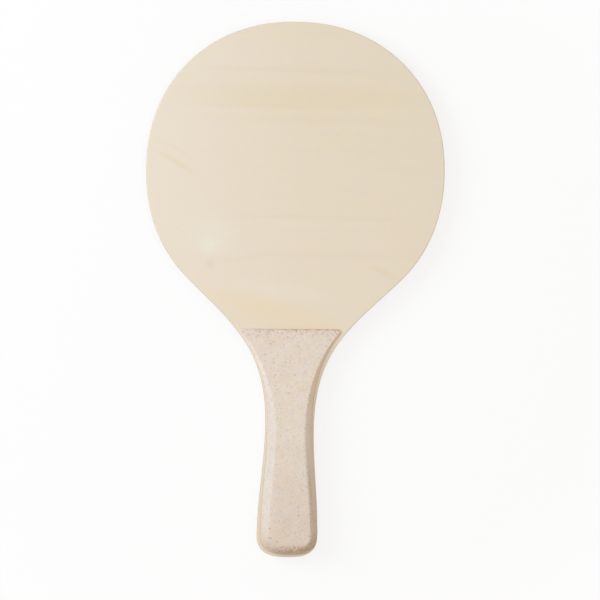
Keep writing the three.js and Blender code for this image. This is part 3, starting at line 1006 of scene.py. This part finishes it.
def loft_faces(rings, body, place):
    """Adds the loft to a BMesh, open at the foot."""
    grid = [[body.verts.new(place(point)) for point in ring] for ring in rings]
    around = len(rings[0])
    for low, high in zip(grid, grid[1:]):
        for i in range(around):
            body.faces.new((low[i], low[(i + 1) % around], high[(i + 1) % around], high[i]))
    last, points = grid[-1], rings[-1]
    side_count = len(foot_side) - 1
    previous = [last[0]] * (back_columns + 1)
    for i in range(1, side_count + 1):
        right, left = points[i], points[around - i]
        if i == side_count:
            row = last[i:i + back_columns + 1]
        else:
            inner = [body.verts.new(place(right.lerp(left, j / back_columns)))
                     for j in range(1, back_columns)]
            row = [last[i], *inner, last[around - i]]
        for j in range(back_columns):
            corners = [previous[j], row[j], row[j + 1], previous[j + 1]]
            body.faces.new(list(dict.fromkeys(corners)))
        previous = row


print("rings in the loft:", len(shell_rings()))

# %% [markdown]
# ## Making the two shells
# The model's shell is opened at its flat underside. The pieces that hang together from the outer edge are
# the old outer form, and go. What stays is the hollow's cells and the pegs or sockets. Then one flat
# surface is filled in between the new foot and all of their openings, which closes the moulding again.

# %% Shells
shell_crease = math.radians(28)
cubic_cm = (10 * mm) ** 3


def connected(vert):
    """The vert and all that hang together with it."""
    found, waiting = {vert}, [vert]
    while waiting:
        for edge in waiting.pop().link_edges:
            for other in edge.verts:
                if other not in found:
                    found.add(other)
                    waiting.append(other)
    return found


def grip_shell(name, node, seat, facing, finish):
    """Sews the fine outer form to the model's inner one. Facing is 1 at the front and -1 at the rear."""
    def place(point):
        flat = on_racket(point.x, point.y - grip_length)
        return Vector((flat.x, flat.y, seat + facing * point.z))

    body = merged_copy(nodes[node])
    bmesh.ops.delete(body, geom=flat_faces(body, seat), context="FACES")
    outermost = max(body.verts, key=lambda vert: vert.co.x)
    bmesh.ops.delete(body, geom=list(connected(outermost)), context="VERTS")
    loft_faces(shell_rings(), body, place)
    openings = [edge for edge in body.edges if edge.is_boundary]
    bmesh.ops.triangle_fill(body, edges=openings, use_beauty=True, normal=(0, 0, -facing))
    bmesh.ops.recalc_face_normals(body, faces=body.faces)
    open_edges = sum(not edge.is_manifold for edge in body.edges)
    volume = body.calc_volume()

    piece = bpy.data.objects.new(name, bpy.data.meshes.new(name))
    body.to_mesh(piece.data)
    body.free()
    piece.data.materials.append(finish)
    piece.data.shade_smooth()
    piece.data.set_sharp_from_angle(angle=shell_crease)
    scene.collection.objects.link(piece)
    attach(piece, "root")
    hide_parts(node)
    print(name, "has", len(piece.data.polygons), "faces,", open_edges, "open edges and",
          round(volume / cubic_cm, 1), "cubic cm")


grip_shell("grip_front", "grip_shell_front", front_seat, 1, front_finish)
grip_shell("grip_rear", "grip_shell_rear", rear_seat, -1, rear_finish)

# %% [markdown]
# ## Dried adhesive
# Contact adhesive holds the shells to the wood. Dried, it is an amber, slightly glossy film with trapped
# bubbles. It stops just short of the shells' edges, so it shows only as a thin line when the seam is seen
# from the side. The film's shape in the model is right, so it stays and only gets this finish.

# %% Finish of the adhesive films
bubble_size = 1.2 * mm
bubble_depth = 0.05 * mm

adhesive, tree, place = new_material("dried_contact_adhesive")
bubbles = add(tree, "ShaderNodeTexVoronoi", {"Vector": place, "Scale": 1 / bubble_size})
trapped = add(tree, "ShaderNodeMapRange",
              {"Value": bubbles.outputs["Distance"], "From Min": 0.1, "From Max": 0.5})
amber = coated(tree, "#dcc8a4", [(trapped, "#b8935f")])
raised = add(tree, "ShaderNodeBump", {"Height": trapped, "Strength": 0.4, "Distance": bubble_depth})
feed(tree, tree.nodes["Principled BSDF"], {"Base Color": amber, "Roughness": 0.35, "Normal": raised})
for name in ("adhesive_film_front", "adhesive_film_rear"):
    film = nodes[name]
    film.data.materials.clear()
    film.data.materials.append(adhesive)
    print(name, "keeps its shape and is now", adhesive.name)
